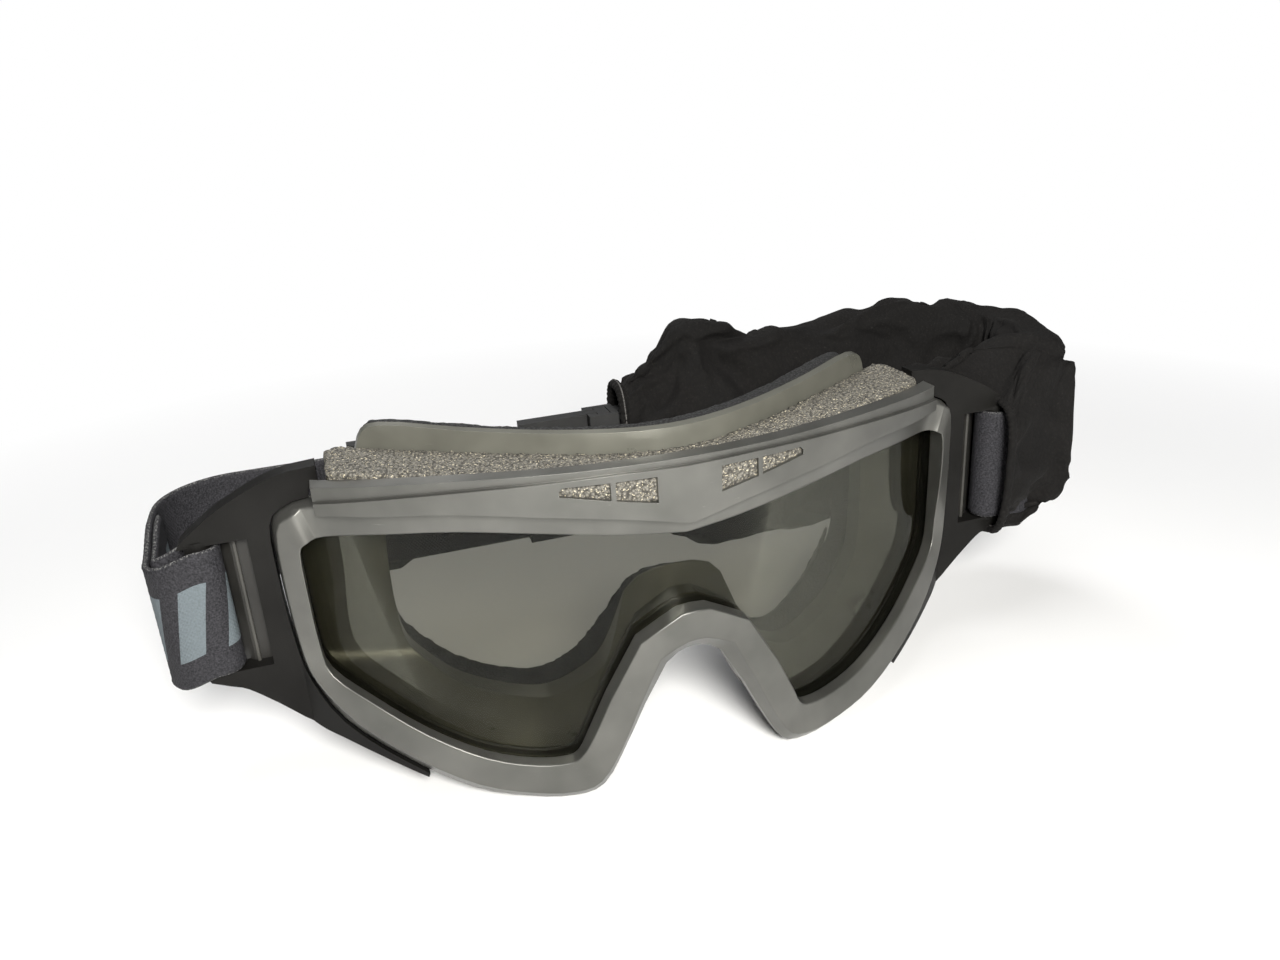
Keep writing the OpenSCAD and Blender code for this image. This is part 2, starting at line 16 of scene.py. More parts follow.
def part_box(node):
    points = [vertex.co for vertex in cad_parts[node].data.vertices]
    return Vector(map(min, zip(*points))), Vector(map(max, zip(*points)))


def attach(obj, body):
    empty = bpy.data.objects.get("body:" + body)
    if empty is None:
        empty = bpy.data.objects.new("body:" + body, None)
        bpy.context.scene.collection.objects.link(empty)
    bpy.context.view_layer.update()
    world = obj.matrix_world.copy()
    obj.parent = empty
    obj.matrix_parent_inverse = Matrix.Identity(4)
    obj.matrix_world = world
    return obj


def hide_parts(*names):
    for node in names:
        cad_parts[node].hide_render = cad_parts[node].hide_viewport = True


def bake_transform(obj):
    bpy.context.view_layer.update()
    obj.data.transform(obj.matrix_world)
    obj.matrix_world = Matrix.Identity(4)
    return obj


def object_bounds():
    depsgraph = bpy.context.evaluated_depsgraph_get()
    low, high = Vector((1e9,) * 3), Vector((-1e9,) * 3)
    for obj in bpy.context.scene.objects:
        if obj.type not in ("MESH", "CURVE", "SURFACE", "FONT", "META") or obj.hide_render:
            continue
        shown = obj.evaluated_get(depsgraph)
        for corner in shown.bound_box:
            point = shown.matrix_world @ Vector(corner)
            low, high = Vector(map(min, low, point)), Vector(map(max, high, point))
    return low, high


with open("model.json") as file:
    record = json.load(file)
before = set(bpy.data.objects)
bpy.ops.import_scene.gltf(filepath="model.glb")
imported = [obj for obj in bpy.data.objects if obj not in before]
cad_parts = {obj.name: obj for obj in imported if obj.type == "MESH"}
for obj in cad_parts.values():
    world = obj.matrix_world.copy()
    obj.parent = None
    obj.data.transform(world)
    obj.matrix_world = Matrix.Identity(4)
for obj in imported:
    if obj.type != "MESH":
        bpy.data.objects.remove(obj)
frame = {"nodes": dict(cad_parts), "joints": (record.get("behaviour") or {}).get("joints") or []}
cad_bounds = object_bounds()

MM = 0.001
LEFT, RIGHT = 1, -1  # which side of the wearer a mirrored piece is on

# ---- Sizes that the CAD part has and its boxes don't say ----

STRAP_T = 1.6 * MM
STRAP_LAYER_GAP = 0.1 * MM
FRONT_BEND_FROM_POST = 3 * MM
REAR_CORNER_R = 18 * MM
WRAP_R = 128 * MM

INSIDE = 100.0          # added to the distance in the strap's map on the face turned inwards
WELD = 0.01 * MM        # vertices of a CAD mesh closer than this are one
FINER_LUMPS = 2.7       # how much finer the second layer of roughening is

# ---- Small helpers ----


def eased(value, start, end):
    """0 before start, 1 after end, smooth between."""
    t = min(1.0, max(0.0, (value - start) / (end - start)))
    return t * t * (3 - 2 * t)


def box_of(node):
    """Lowest and highest corner of a CAD node as numpy arrays."""
    lo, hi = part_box(node)
    return np.array(lo), np.array(hi)


def shade_smooth(mesh):
    for polygon in mesh.polygons:
        polygon.use_smooth = True


def object_from(bm, name, material):
    """Smooth-shaded object from a bmesh, which is used up."""
    mesh = bpy.data.meshes.new(name)
    bm.to_mesh(mesh)
    bm.free()
    shade_smooth(mesh)
    obj = bpy.data.objects.new(name, mesh)
    bpy.context.scene.collection.objects.link(obj)
    mesh.materials.append(material)
    return obj


def new_object(name, verts, faces, material):
    """Object from vertices and faces, with its normals turned outwards."""
    draft = bpy.data.meshes.new("draft")
    draft.from_pydata([tuple(v) for v in verts], [], faces)
    bm = bmesh.new()
    bm.from_mesh(draft)
    bpy.data.meshes.remove(draft)
    bmesh.ops.recalc_face_normals(bm, faces=bm.faces)
    return object_from(bm, name, material)


def turns(count):
    """Angles evenly round a circle."""
    return [2 * math.pi * i / count for i in range(count)]


def tube_faces(rings, count, closed=False):
    """Side faces of a tube of rings with count vertices each, joined end to end if closed."""
    pairs = [(i * count, (i + 1) % rings * count) for i in range(rings if closed else rings - 1)]
    return [(a + j, a + (j + 1) % count, b + (j + 1) % count, b + j)
            for a, b in pairs for j in range(count)]


def copy_of(node, name, material):
    """Copy of a CAD node's mesh as a new object with welded, clean vertices."""
    obj = bpy.data.objects.new(name, frame["nodes"][node].data.copy())
    bpy.context.scene.collection.objects.link(obj)
    if "custom_normal" in obj.data.attributes:
        obj.data.attributes.remove(obj.data.attributes["custom_normal"])
    bm = bmesh.new()
    bm.from_mesh(obj.data)
    bmesh.ops.remove_doubles(bm, verts=bm.verts, dist=WELD)
    bm.to_mesh(obj.data)
    bm.free()
    obj.data.materials.clear()
    obj.data.materials.append(material)
    return obj


def apply_modifiers(obj):
    """Turns the object's modifiers into plain mesh."""
    graph = bpy.context.evaluated_depsgraph_get()
    mesh = bpy.data.meshes.new_from_object(obj.evaluated_get(graph))
    obj.modifiers.clear()
    obj.data = mesh


def remesh(obj, size, rounds, factor):
    """Even skin of small quads over the object's shape, relaxed in some rounds."""
    modifier = obj.modifiers.new("even_skin", "REMESH")
    modifier.mode = "VOXEL"
    modifier.voxel_size = size
    modifier.use_smooth_shade = True
    apply_modifiers(obj)
    bm = bmesh.new()
    bm.from_mesh(obj.data)
    for _ in range(rounds):
        bmesh.ops.smooth_vert(bm, verts=bm.verts, factor=factor, use_axis_x=True, use_axis_y=True,
                              use_axis_z=True)
    bm.to_mesh(obj.data)
    bm.free()


def push_out(mesh, height_at):
    """Moves each vertex along its normal by the height that the function gives for it."""
    moved = [v.co + v.normal * height_at(v) for v in mesh.vertices]
    for v, co in zip(mesh.vertices, moved):
        v.co = co
    mesh.update()


def roughen(obj, height, grain, detail):
    """Lumps of about this height and of the size of grain, with a share of finer ones."""
    def lump(v):
        p = v.co / grain
        return height * (noise.noise(p) + detail * noise.noise(p * FINER_LUMPS))

    push_out(obj.data, lump)


def place(obj, body, slot, *nodes):
    """Rides on a body, or, given two bodies and two places, keeps its place in the world and rides on
    neither; stands for CAD nodes. The slot is not used."""
    if isinstance(body, str):
        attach(obj, body)
    else:
        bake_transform(obj)
    if nodes:
        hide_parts(*nodes)


# ---- Materials ----


class Nodes:
    """Node material under construction: thin wrappers that return output sockets."""

    def __init__(self, name):
        self.material = bpy.data.materials.new(name)
        self.material.use_nodes = True
        self.tree = self.material.node_tree
        self.shader = self.tree.nodes["Principled BSDF"]
        self.output = self.tree.nodes["Material Output"]

    def put(self, socket, value):
        if isinstance(value, bpy.types.NodeSocket):
            self.tree.links.new(value, socket)
        else:
            socket.default_value = value

    def add(self, kind, inputs=(), **settings):
        """New node with its settings, and its inputs as pairs of socket and value."""
        node = self.tree.nodes.new(kind)
        for key, value in settings.items():
            setattr(node, key, value)
        for key, value in inputs:
            self.put(node.inputs[key], value)
        return node

    def object_place(self):
        return self.add("ShaderNodeTexCoord").outputs["Object"]

    def scaled(self, vector, scale):
        inputs = enumerate((vector, scale))
        return self.add("ShaderNodeVectorMath", inputs, operation="MULTIPLY").outputs[0]

    def noise(self, vector, scale, detail=4, roughness=0.6, distortion=0.0):
        return self.add("ShaderNodeTexNoise", (
            ("Vector", vector), ("Scale", scale), ("Detail", detail), ("Roughness", roughness),
            ("Distortion", distortion))).outputs["Fac"]

    def cells(self, vector, scale):
        inputs = (("Vector", vector), ("Scale", scale))
        return self.add("ShaderNodeTexVoronoi", inputs).outputs["Distance"]

    def spread(self, value, low, high, to_low=0.0, to_high=1.0):
        """Maps low..high to to_low..to_high, held at both ends."""
        return self.add("ShaderNodeMapRange", (
            ("Value", value), ("From Min", low), ("From Max", high), ("To Min", to_low),
            ("To Max", to_high))).outputs["Result"]

    def maths(self, operation, a, b=0.0):
        return self.add("ShaderNodeMath", enumerate((a, b)), operation=operation).outputs[0]

    def mixed(self, share, a, b):
        """Colour a where share is 0 and b where it is 1."""
        inputs = (("Factor", share), ("A", a), ("B", b))
        return self.add("ShaderNodeMix", inputs, data_type="RGBA").outputs["Result"]

    def bump(self, height, strength, distance, under=None):
        inputs = (("Strength", strength), ("Distance", distance), ("Height", height))
        node = self.add("ShaderNodeBump", inputs)
        if under is not None:
            self.put(node.inputs["Normal"], under)
        return node.outputs["Normal"]

    def blended(self, share, a, b):
        """Sends shader a to the surface where share is 0 and b where it is 1."""
        node = self.add("ShaderNodeMixShader", enumerate((share, a, b)))
        self.put(self.output.inputs["Surface"], node.outputs[0])
        return self.material

    def finish(self, colour, roughness, normal=None, metallic=0.0, shine=0.5):
        self.put(self.shader.inputs["Specular IOR Level"], shine)
        self.put(self.shader.inputs["Base Color"], colour)
        self.put(self.shader.inputs["Roughness"], roughness)
        self.put(self.shader.inputs["Metallic"], metallic)
        if normal is not None:
            self.put(self.shader.inputs["Normal"], normal)
        return self.material


def rgb(red, green, blue):
    return (red, green, blue, 1.0)


def satin_plastic(name, dark, light, worn, rough_low, rough_high, metallic=0.0, grain=0.05, shine=0.5):
    """Moulded plastic with a fine leathery grain, a cloudy tone and faint paler scuffs."""
    n = Nodes(name)
    at = n.object_place()
    cloud = n.noise(at, 45, 3)
    tone = n.mixed(n.spread(cloud, 0.35, 0.65), dark, light)
    scuff = n.noise(n.scaled(at, (1.0, 1.0, 9.0)), 260, 5, 0.7, 0.6)
    marks = n.spread(scuff, 0.68, 0.74)
    tone = n.mixed(n.maths("MULTIPLY", marks, 0.35), tone, worn)
    fine = n.noise(at, 2600, 2, 0.5)
    skin = n.bump(fine, grain, 0.05 * MM)
    skin = n.bump(cloud, 0.08, 0.4 * MM, skin)
    rough = n.spread(n.noise(at, 90, 4), 0.3, 0.7, rough_low, rough_high)
    return n.finish(tone, rough, skin, metallic, shine)


LENS_TINT = rgb(0.56, 0.555, 0.515)
LENS_SHINE = 0.28       # share of a bare surface's reflection that the coated lens keeps


def clear_lens():
    """Clear polycarbonate with a slight smoke tint, faint haze and a few fine scratches."""
    n = Nodes("lens_polycarbonate")
    at = n.object_place()
    n.tree.nodes.remove(n.shader)
    see = n.add("ShaderNodeBsdfTransparent", (("Color", LENS_TINT),))
    haze = n.noise(at, 60, 4)
    scratch = n.spread(n.noise(n.scaled(at, (1.0, 1.0, 30.0)), 180, 5, 0.75, 1.2), 0.70, 0.74)
    rough = n.maths("ADD", n.spread(haze, 0.3, 0.7, 0.02, 0.07), n.maths("MULTIPLY", scratch, 0.1))
    gloss = n.add("ShaderNodeBsdfGlossy", (("Roughness", rough), ("Color", rgb(0.85, 0.87, 0.84))))
    shine = n.add("ShaderNodeFresnel", (("IOR", 1.5), ("Normal", n.bump(haze, 0.02, 0.2 * MM))))
    return n.blended(n.maths("MULTIPLY", shine.outputs[0], LENS_SHINE), see.outputs[0], gloss.outputs[0])


def open_foam(name, dark, light, glint_tone, glints):
    """Open-cell foam: pits darkened with painted shade between pale struts, with bright flecks painted as
    glints.
    """
    n = Nodes(name)
    at = n.object_place()
    pits = n.cells(at, 1500)
    # Painted shade: the dark tone stands in for shade down in the foam's pits.
    pit_shade = n.spread(pits, 0.2, 0.75)
    tone = n.mixed(pit_shade, light, dark)
    # Painted glints: bright flecks stand in for highlights on the cell walls.
    glint = n.spread(n.noise(at, 2300, 2, 0.6), 0.60, 0.66)
    tone = n.mixed(n.maths("MULTIPLY", glint, glints), tone, glint_tone)
    normal = n.bump(pits, 0.8, 0.4 * MM)
    rough = n.spread(pits, 0.2, 0.8, 0.55, 0.95)
    return n.finish(tone, rough, normal)


def knit(name, dark, light, sheen, pitch=0.9 * MM):
    """Fine jersey: rows of little stitches, soft fuzz whose pale flecks are a painted sheen, and a slight
    sheen from the shader.
    """
    n = Nodes(name)
    at = n.object_place()
    rows = n.cells(n.scaled(at, (1.0, 1.0, 0.7)), 1 / pitch)
    cloud = n.noise(at, 70, 4)
    tone = n.mixed(n.spread(cloud, 0.3, 0.7), dark, light)
    tone = n.mixed(n.spread(rows, 0.15, 0.6, 0.0, 0.55), tone, dark)
    fuzz = n.noise(at, 3200, 3, 0.7)
    # Painted sheen: flecks of the fuzz noise are lightened towards the sheen colour.
    tone = n.mixed(n.spread(fuzz, 0.62, 0.72, 0.0, 0.35), tone, sheen)
    normal = n.bump(rows, 0.5, 0.25 * MM)
    normal = n.bump(fuzz, 0.35, 0.15 * MM, normal)
    n.put(n.shader.inputs["Sheen Weight"], 0.05)
    n.put(n.shader.inputs["Sheen Roughness"], 0.5)
    n.put(n.shader.inputs["Sheen Tint"], sheen)
    return n.finish(tone, n.spread(cloud, 0.3, 0.7, 0.82, 0.98), normal, shine=0.2)


# Slanted bars on the webbing's outer face, in units of the strap's own width
BAR_PITCH, BAR_SHARE, BAR_SLANT, BAR_HALF_HEIGHT = 0.34, 0.56, 0.20, 0.27
RIB_ALONG = 0.9 * MM
RIB_ACROSS = 1.1 * MM


def bar_mask(n, along, width, across, from_middle):
    """1 on the bars and 0 between them; across and from_middle are shares of the strap's width."""
    shifted = n.maths("ADD", n.maths("DIVIDE", along, width), n.maths("MULTIPLY", across, BAR_SLANT))
    phase = n.maths("FRACT", n.maths("DIVIDE", shifted, BAR_PITCH))
    in_bar = n.maths("MULTIPLY", n.maths("LESS_THAN", phase, BAR_SHARE),
                     n.maths("LESS_THAN", along, INSIDE / 2))
    return n.maths("MULTIPLY", in_bar, n.maths("LESS_THAN", from_middle, BAR_HALF_HEIGHT))


def webbing(name, width, barred):
    """Charcoal elastic webbing: fine ribs, a selvage speckled with painted glints and, if barred, slanted
    pale bars.
    """
    n = Nodes(name)
    run = n.add("ShaderNodeUVMap", uv_map="run").outputs[0]
    split = n.add("ShaderNodeSeparateXYZ", enumerate((run,)))
    along, height = split.outputs[0], split.outputs[1]
    across = n.maths("DIVIDE", height, width)
    from_middle = n.maths("ABSOLUTE", across)
    at = n.object_place()
    flecks = n.noise(at, 2300, 2, 0.6)
    tone = n.mixed(n.spread(flecks, 0.35, 0.68), rgb(0.008, 0.008, 0.0095), rgb(0.040, 0.039, 0.044))
    if barred:
        weave = n.spread(flecks, 0.3, 0.7, 0.75, 1.0)
        bars = bar_mask(n, along, width, across, from_middle)
        tone = n.mixed(n.maths("MULTIPLY", bars, weave), tone, rgb(0.125, 0.148, 0.160))
    # Painted glints: pale speckles along the selvage stand in for highlights on its edge.
    edge = n.spread(from_middle, 0.485, 0.493)
    glint = n.spread(n.noise(at, 2600, 2, 0.6), 0.48, 0.64)
    tone = n.mixed(n.maths("MULTIPLY", n.maths("MULTIPLY", edge, glint), 0.35), tone, rgb(0.4, 0.4, 0.38))
    rib_along = n.maths("SINE", n.maths("MULTIPLY", along, 2 * math.pi / RIB_ALONG))
    rib_across = n.maths("SINE", n.maths("MULTIPLY", height, 2 * math.pi / RIB_ACROSS))
    ribs = n.maths("MULTIPLY", rib_along, rib_across)
    normal = n.bump(n.spread(ribs, -1, 1), 0.5, 0.2 * MM)
    normal = n.bump(flecks, 0.4, 0.12 * MM, normal)
    return n.finish(tone, n.spread(flecks, 0.3, 0.7, 0.7, 0.95), normal, shine=0.25)


def thread():
    """Dull dark sewing thread with a visible twist."""
    n = Nodes("sewing_thread")
    at = n.object_place()
    twist = n.noise(n.scaled(at, (1.0, 3.0, 1.0)), 1800, 2)
    tone = n.mixed(n.spread(twist, 0.35, 0.65), rgb(0.03, 0.028, 0.026), rgb(0.11, 0.105, 0.10))
    return n.finish(tone, n.spread(twist, 0.3, 0.7, 0.55, 0.8), n.bump(twist, 0.5, 0.1 * MM))


GREY = satin_plastic("frame_satin_grey", rgb(0.096, 0.096, 0.088), rgb(0.140, 0.139, 0.128),
                     rgb(0.34, 0.335, 0.31), 0.30, 0.42, metallic=0.65)
OLIVE = satin_plastic("face_frame_olive", rgb(0.120, 0.119, 0.099), rgb(0.170, 0.168, 0.141),
                      rgb(0.30, 0.295, 0.26), 0.26, 0.40, metallic=0.25, grain=0.012)
WING_BLACK = satin_plastic("outrigger_black", rgb(0.0055, 0.0052, 0.0047), rgb(0.010, 0.0096, 0.0088),
                           rgb(0.05, 0.047, 0.043), 0.42, 0.58, grain=0.09, shine=0.12)
# Paler grey of the slot's raised line: a painted highlight on the outrigger's black plastic.
SLOT_LINE_HIGHLIGHT = satin_plastic("outrigger_web", rgb(0.035, 0.034, 0.031), rgb(0.06, 0.058, 0.052),
                         rgb(0.15, 0.15, 0.14), 0.35, 0.5, shine=0.3)
WEB_BLACK = satin_plastic("outrigger_panel", rgb(0.014, 0.0135, 0.012), rgb(0.026, 0.025, 0.023),
                          rgb(0.08, 0.077, 0.07), 0.35, 0.5, shine=0.3)
HARDWARE = satin_plastic("hardware_black", rgb(0.013, 0.013, 0.013), rgb(0.026, 0.026, 0.026),
                         rgb(0.09, 0.09, 0.09), 0.48, 0.64, shine=0.25)
LENS = clear_lens()
# For each foam, the first colour is painted shade in the pits and the third is painted glints.
VENT_FOAM = open_foam("vent_foam_open_cell", rgb(0.045, 0.042, 0.036), rgb(0.17, 0.16, 0.135),
                      rgb(0.65, 0.58, 0.42), 0.75)
PAD_FOAM = open_foam("pad_foam_fine_cell", rgb(0.003, 0.003, 0.003), rgb(0.010, 0.010, 0.010),
                     rgb(0.02, 0.02, 0.02), 0.3)
# The last colour of each jersey is its sheen tint and also the painted sheen on its fuzz.
FLEECE = knit("pad_fleece", rgb(0.012, 0.011, 0.011), rgb(0.032, 0.030, 0.029), rgb(0.16, 0.15, 0.15),
              1.3 * MM)
SLEEVE_KNIT = knit("sleeve_jersey", rgb(0.003, 0.0027, 0.0025), rgb(0.0085, 0.0077, 0.0072),
                   rgb(0.075, 0.068, 0.063))
THREAD = thread()

# ---- Hard pieces ----

SHARPEST_SMOOTH = math.radians(30)  # edges that turn more than this are rounded


def dress_cad(node, material, edge, segments=3):
    """Gives a CAD node rounded edges, even shading and its material, without touching its mesh."""
    obj = frame["nodes"][node]
    weld = obj.modifiers.new("one_skin", "WELD")
    weld.merge_threshold = WELD
    bevel = obj.modifiers.new("rounded_edges", "BEVEL")
    bevel.width = edge
    bevel.segments = segments
    bevel.limit_method = "ANGLE"
    bevel.angle_limit = SHARPEST_SMOOTH
    shade = obj.modifiers.new("even_shading", "WEIGHTED_NORMAL")
    shade.keep_sharp = False
    obj.data.materials.clear()
    obj.data.materials.append(material)
    shade_smooth(obj.data)


def dress_hard_parts():
    dress_cad("front_frame", GREY, 0.45 * MM)
    dress_cad("brow_bar", GREY, 0.3 * MM)
    dress_cad("face_frame", OLIVE, 0.4 * MM)
    dress_cad("lens", LENS, 0.15 * MM, segments=1)
    for side in ("left", "right"):
        dress_cad("outrigger_" + side, WING_BLACK, 0.7 * MM)
        dress_cad("slider_" + side, HARDWARE, 0.35 * MM)
    dress_cad("clip_socket", HARDWARE, 0.4 * MM)
    dress_cad("clip_tongue", HARDWARE, 0.4 * MM)


# ---- Foam ----


def make_vent_foam(node):
    """Open-cell strip with a torn, pitted skin."""
    foam = copy_of(node, node + "_cells", VENT_FOAM)
    remesh(foam, 0.55 * MM, 1, 0.4)
    roughen(foam, 0.45 * MM, 1.1 * MM, 0.5)
    place(foam, "goggle_frame", "vent_foam", node)


def make_face_foam():
    """Bare side walls of the face pad."""
    foam = copy_of("face_foam", "face_foam_pad", PAD_FOAM)
    remesh(foam, 1.3 * MM, 2, 0.5)
    roughen(foam, 0.25 * MM, 1.6 * MM, 0.5)
    place(foam, "goggle_frame", "face_foam", "face_foam")


CLOTH_SCALE = 10.0      # the cloth solver works better on an object of this many times the size


def make_cloth(obj, pressure, growth, pinned, stiffness, bending):
    """Cloth modifier with air inside it, no weight, and the pinned vertices held."""
    cloth = obj.modifiers.new("cloth", "CLOTH")
    settings = cloth.settings
    settings.quality = 5
    settings.mass = 0.3
    settings.tension_stiffness = stiffness
    settings.compression_stiffness = stiffness
    settings.shear_stiffness = stiffness * 0.4
    settings.bending_stiffness = bending
    settings.use_pressure = True
    settings.uniform_pressure_force = pressure
    settings.shrink_min = -growth
    settings.effector_weights.gravity = 0
    cloth.collision_settings.use_collision = False
    if pinned:
        group = obj.vertex_groups.new(name="held")
        group.add(pinned, 1.0, "REPLACE")
        settings.vertex_group_mass = "held"


def inflate(obj, pressure, cap, frames=20, growth=0.0, pinned=None, stiffness=15.0, bending=0.5):
    """Runs the object as cloth with air inside it, then holds each point within cap of its start."""
    rest = np.array([v.co for v in obj.data.vertices])
    for v in obj.data.vertices:
        v.co = v.co * CLOTH_SCALE
    make_cloth(obj, pressure, growth, pinned, stiffness, bending)
    scene = bpy.context.scene
    for step in range(1, frames + 1):
        scene.frame_set(step)
    graph = bpy.context.evaluated_depsgraph_get()
    moved = np.array([v.co for v in obj.evaluated_get(graph).data.vertices]) / CLOTH_SCALE
    obj.modifiers.clear()
    obj.vertex_groups.clear()
    scene.frame_set(1)
    shift = moved - rest
    length = np.linalg.norm(shift, axis=1, keepdims=True)
    shift *= np.minimum(1.0, cap / np.maximum(length, 1e-9))
    for v, p in zip(obj.data.vertices, rest + shift):
        v.co = p
    obj.data.update()


def make_face_lining():
    """Fleece facing of the pad, puffed up a little by cloth simulation."""
    fleece = copy_of("face_lining", "face_lining_fleece", FLEECE)
    remesh(fleece, 1.1 * MM, 3, 0.5)
    inflate(fleece, 4.0, 0.9 * MM)
    roughen(fleece, 0.3 * MM, 2.2 * MM, 0.6)
    place(fleece, "goggle_frame", "fleece", "face_lining")


# The filter strips: span from the middle, depths behind the wrap, and edges below the brow bar's top
VENT_START, VENT_REACH = 6.6 * MM, 28.5 * MM
FILTER_FRONT, FILTER_BACK = 1.9 * MM, 3.6 * MM
FILTER_BOTTOM, FILTER_TOP = 8.8 * MM, 2.5 * MM
RIDGE_RISE = 0.9 * MM   # how far the brow bar's ridge stands in front of the wrap


def make_vent_filters():
    """Open-cell filter strips just behind the brow bar's two vents."""
    brow_lo, brow_hi = box_of("brow_bar")
    wrap_y = brow_lo[1] + WRAP_R - RIDGE_RISE
    bottom, top = brow_hi[2] - FILTER_BOTTOM, brow_hi[2] - FILTER_TOP
    columns, rows = 60, 14
    count = 2 * (rows + 1)
    heights = [bottom + (top - bottom) * j / rows for j in range(rows + 1)]
    for word, side in (("left", LEFT), ("right", RIGHT)):
        verts = []
        for i in range(columns + 1):
            x = side * (VENT_START + (VENT_REACH - VENT_START) * i / columns)
            for depth, column in ((FILTER_FRONT, heights), (FILTER_BACK, heights[::-1])):
                y = wrap_y - math.sqrt((WRAP_R - depth) ** 2 - x * x)
                verts += [(x, y, z) for z in column]
        faces = tube_faces(columns + 1, count)
        faces += [(end + j, end + j + 1, end + count - 2 - j, end + count - 1 - j)
                  for end in (0, columns * count) for j in range(rows)]
        strip = new_object("vent_filter_" + word, verts, faces, VENT_FOAM)
        roughen(strip, 0.3 * MM, 0.9 * MM, 0.5)
        place(strip, "goggle_frame", "vent_foam")


def bevelled_prism(name, plan, bottom, top, edge, material):
    """Upright prism of a plan outline, with rounded edges."""
    bm = bmesh.new()
    low = [bm.verts.new((x, y, bottom)) for x, y in plan]
    high = [bm.verts.new((x, y, top)) for x, y in plan]
    count = len(plan)
    bm.faces.new(low[::-1])
    bm.faces.new(high)
    for i in range(count):
        j = (i + 1) % count
        bm.faces.new((low[i], low[j], high[j], high[i]))
    bmesh.ops.recalc_face_normals(bm, faces=bm.faces)
    bmesh.ops.bevel(bm, geom=bm.edges[:], offset=edge, segments=3, profile=0.6, affect="EDGES")
    return object_from(bm, name, material)


WEB_INNER = 11.2 * MM   # from the post to the panel's inner edge
WEB_TIP = 2.2 * MM      # from the post to the tip of its curled edge
WEB_FRONT, WEB_BACK = 2.2 * MM, 0.4 * MM     # its faces, in front of the outrigger's back
LINE_FRONT, LINE_BACK = 3.0 * MM, 1.4 * MM   # the raised line's faces, likewise
LINE_INNER, LINE_OUTER = 1.3 * MM, 0.5 * MM  # and its sides, from where the curl starts
WEB_CLEAR = 1.2 * MM    # room above and below the webbing


def make_slot_webs(strap):
    """Set-back web that closes the inner part of each outrigger's strap slot: a flat panel whose outer
    edge curls back behind the webbing's loop, and a raised line along it, paler grey as a painted
    highlight."""
    for word, side in (("left", LEFT), ("right", RIGHT)):
        back = box_of("outrigger_" + word)[1][1]
        inner = strap.post_x - WEB_INNER
        outer = strap.post_x - strap.loop_r - STRAP_T - 0.9 * MM
        bottom, top = strap.bottom - WEB_CLEAR, strap.top + WEB_CLEAR
        behind = strap.post_y + strap.loop_r + STRAP_T / 2 + 0.5 * MM
        tip = strap.post_x - WEB_TIP
        panel = ((inner, back - WEB_FRONT), (outer, back - WEB_FRONT), (tip, behind),
                 (tip, behind + 1.3 * MM), (outer - 1 * MM, back - WEB_BACK), (inner, back - WEB_BACK))
        line = ((outer - LINE_INNER, back - LINE_FRONT), (outer - LINE_OUTER, back - LINE_FRONT),
                (outer - LINE_OUTER, back - LINE_BACK), (outer - LINE_INNER, back - LINE_BACK))
        # The raised line's paler grey is a painted highlight.
        for part, plan, material in (("web", panel, WEB_BLACK), ("edge", line, SLOT_LINE_HIGHLIGHT)):
            block = bevelled_prism(f"slot_{part}_{word}", [(side * x, y) for x, y in plan], bottom, top,
                                   0.3 * MM, material)
            place(block, "goggle_frame", "outrigger_black")


# ---- Paths in plan ----


def straight(a, b, step):
    """Points from a up to but not including b."""
    a, b = np.array(a, float), np.array(b, float)
    count = max(1, round(np.linalg.norm(b - a) / step))
    return [a + (b - a) * i / count for i in range(count)]


def bend(centre, radius, start, end, step):
    """Points of an arc, angles in degrees, up to but not including its end."""
    count = max(3, round(abs(math.radians(end - start)) * radius / step))
    angles = [math.radians(start + (end - start) * i / count) for i in range(count)]
    return [np.array((centre[0] + radius * math.cos(t), centre[1] + radius * math.sin(t))) for t in angles]


def joined(*runs):
    """One path from several runs and a last point, without doubled points."""
    points = []
    for run in runs:
        for p in run:
            if not points or np.linalg.norm(p - points[-1]) > 1e-6:
                points.append(p)
    return np.array(points)


def frame_along(path):
    """Distance along a plan path at each point, and the unit normal on its right-hand side."""
    step = np.diff(path, axis=0)
    travel = np.concatenate([[0.0], np.cumsum(np.linalg.norm(step, axis=1))])
    tangent = np.gradient(path, axis=0)
    tangent /= np.linalg.norm(tangent, axis=1, keepdims=True)
    return travel, np.column_stack([tangent[:, 1], -tangent[:, 0]])


def skin(path, normal, rings):
    """Vertices and side faces of a tube whose rings are (offset, height) points along a plan path."""
    verts = [(p[0] + n[0] * o, p[1] + n[1] * o, z)
             for p, n, ring in zip(path, normal, rings) for o, z in ring]
    return verts, tube_faces(len(path), len(rings[0]))


def upright_sweep(name, path, section, material, start_at, outside):
    """Closed band along a plan path. section gives (offset, height) points for a distance along it.
    The map "run" holds distance along and height, in metres. outside is the sign of the offsets on
    the face that is turned out."""
    travel, normal = frame_along(path)
    rings = [section(s) for s in travel]
    count = len(rings[0])
    verts, faces = skin(path, normal, rings)
    faces.append(tuple(range(count)))
    faces.append(tuple(range((len(path) - 1) * count, len(path) * count)))
    obj = new_object(name, verts, faces, material)
    offsets = np.array([o for ring in rings for o, _ in ring])
    runs = np.repeat(travel + start_at, count) + np.where(offsets * outside > 0, 0.0, INSIDE)
    heights = np.array([z for ring in rings for _, z in ring])
    middle = (heights.max() + heights.min()) / 2
    layer = obj.data.uv_layers.new(name="run")
    for loop in obj.data.loops:
        layer.data[loop.index].uv = (runs[loop.vertex_index], heights[loop.vertex_index] - middle)
    return obj


# ---- Strap ----


